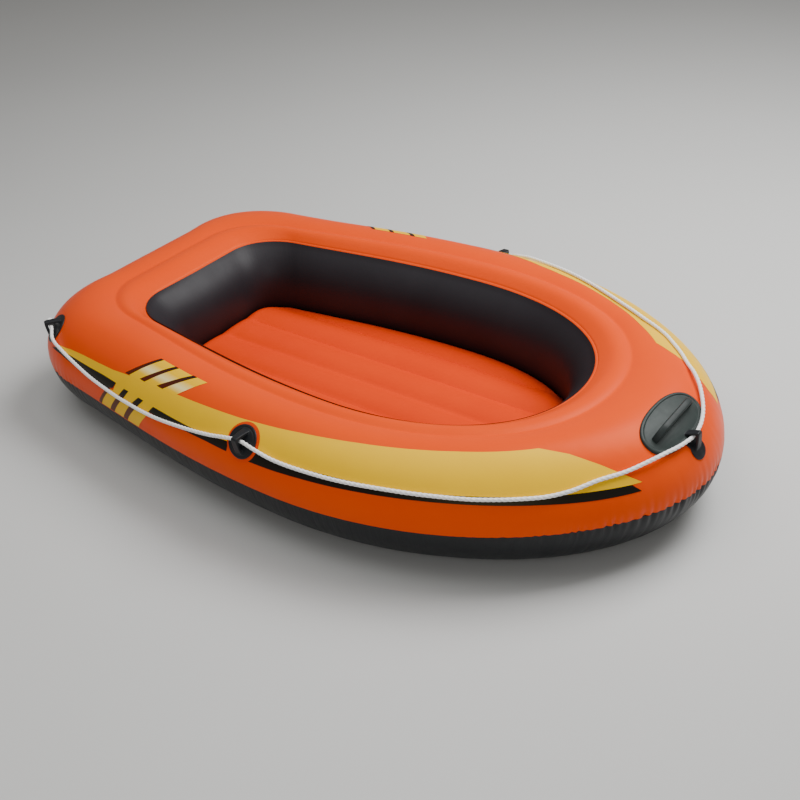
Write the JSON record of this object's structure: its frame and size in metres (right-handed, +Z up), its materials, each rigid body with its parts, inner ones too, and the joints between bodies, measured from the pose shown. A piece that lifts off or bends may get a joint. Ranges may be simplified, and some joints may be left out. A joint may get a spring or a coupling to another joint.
{
  "type": "inflatable kids boat",
  "caption": "One-person inflatable boat with a rounded bow and square stern, dark cockpit wall, beamed floor, rope threaded through moulded holders, bow grip and push-in valves.",
  "frame": {"origin": "middle of the flat underside of the floor, on the boat's centre line", "axes": "+X towards the bow, +Y to port, +Z up"},
  "size_m": [1.3689, 0.8488, 0.2317],
  "materials": {
    "vinyl_orange": "satin",
    "vinyl_grey": "satin",
    "moulding": "matte",
    "rope": "braided",
    "valve": "satin"
  },
  "bodies": {
    "boat": {"hull_top_skin": "vinyl_orange", "hull_bottom_skin": "vinyl_grey", "cockpit_wall_skin": "vinyl_grey", "chamber_divider": "vinyl_grey", "floor_top_skin": "vinyl_orange", "floor_bottom_skin": "vinyl_grey", "floor_web_port_outer": "vinyl_grey", "floor_web_port_inner": "vinyl_grey", "floor_web_centre": "vinyl_grey", "floor_web_starboard_inner": "vinyl_grey", "floor_web_starboard_outer": "vinyl_grey", "rope_holder_port": "moulding", "rope_holder_starboard": "moulding", "stern_rope_holder_port": "moulding", "stern_rope_holder_starboard": "moulding", "bow_rope_holder": "moulding", "bow_pad": "moulding", "bow_grip": "moulding", "grab_line": "rope", "grab_line_knot_port": "rope", "grab_line_knot_starboard": "rope", "outer_valve_body": "valve", "inner_valve_body": "valve", "floor_valve_body": "valve"},
    "outer_valve_stem": {"outer_valve_stem": "valve"},
    "outer_valve_plug": {"outer_valve_plug": "valve"},
    "outer_valve_flap": {"outer_valve_flap": "valve"},
    "inner_valve_stem": {"inner_valve_stem": "valve"},
    "inner_valve_plug": {"inner_valve_plug": "valve"},
    "inner_valve_flap": {"inner_valve_flap": "valve"},
    "floor_valve_stem": {"floor_valve_stem": "valve"},
    "floor_valve_plug": {"floor_valve_plug": "valve"},
    "floor_valve_flap": {"floor_valve_flap": "valve"}
  },
  "joints": [
    {"name": "outer_valve_stem_slide", "type": "slide", "parent": "boat", "child": "outer_valve_stem", "axis": [-0.7417, 0, 0.6707], "range_m": [0, 0.012]},
    {"name": "outer_valve_plug_hinge", "type": "hinge", "parent": "outer_valve_stem", "child": "outer_valve_plug", "pos_m": [-0.65296, 0, 0.19404], "axis": [0, 1, 0], "range_deg": [0, 130]},
    {"name": "outer_valve_flap_hinge", "type": "hinge", "parent": "outer_valve_stem", "child": "outer_valve_flap", "pos_m": [-0.63227, 0, 0.16832], "axis": [0, -1, 0], "range_deg": [0, 35], "stiffness_Nm_per_rad": 0.0005},
    {"name": "inner_valve_stem_slide", "type": "slide", "parent": "boat", "child": "inner_valve_stem", "axis": [0.2156, 0.9765, 0], "range_m": [0, 0.012]},
    {"name": "inner_valve_plug_hinge", "type": "hinge", "parent": "inner_valve_stem", "child": "inner_valve_plug", "pos_m": [-0.1016, -0.19376, 0.1208], "axis": [0.9765, -0.2156, 0], "range_deg": [0, 130]},
    {"name": "inner_valve_flap_hinge", "type": "hinge", "parent": "inner_valve_stem", "child": "inner_valve_flap", "pos_m": [-0.10863, -0.22559, 0.1156], "axis": [-0.9765, 0.2156, 0], "range_deg": [0, 35], "stiffness_Nm_per_rad": 0.0005},
    {"name": "floor_valve_stem_slide", "type": "slide", "parent": "boat", "child": "floor_valve_stem", "axis": [0, 0, 1], "range_m": [0, 0.012]},
    {"name": "floor_valve_plug_hinge", "type": "hinge", "parent": "floor_valve_stem", "child": "floor_valve_plug", "pos_m": [-0.2458, -0.114, 0.0683], "axis": [0, -1, 0], "range_deg": [0, 130]},
    {"name": "floor_valve_flap_hinge", "type": "hinge", "parent": "floor_valve_stem", "child": "floor_valve_flap", "pos_m": [-0.2406, -0.114, 0.0357], "axis": [0, 1, 0], "range_deg": [0, 35], "stiffness_Nm_per_rad": 0.0005}
  ]
}
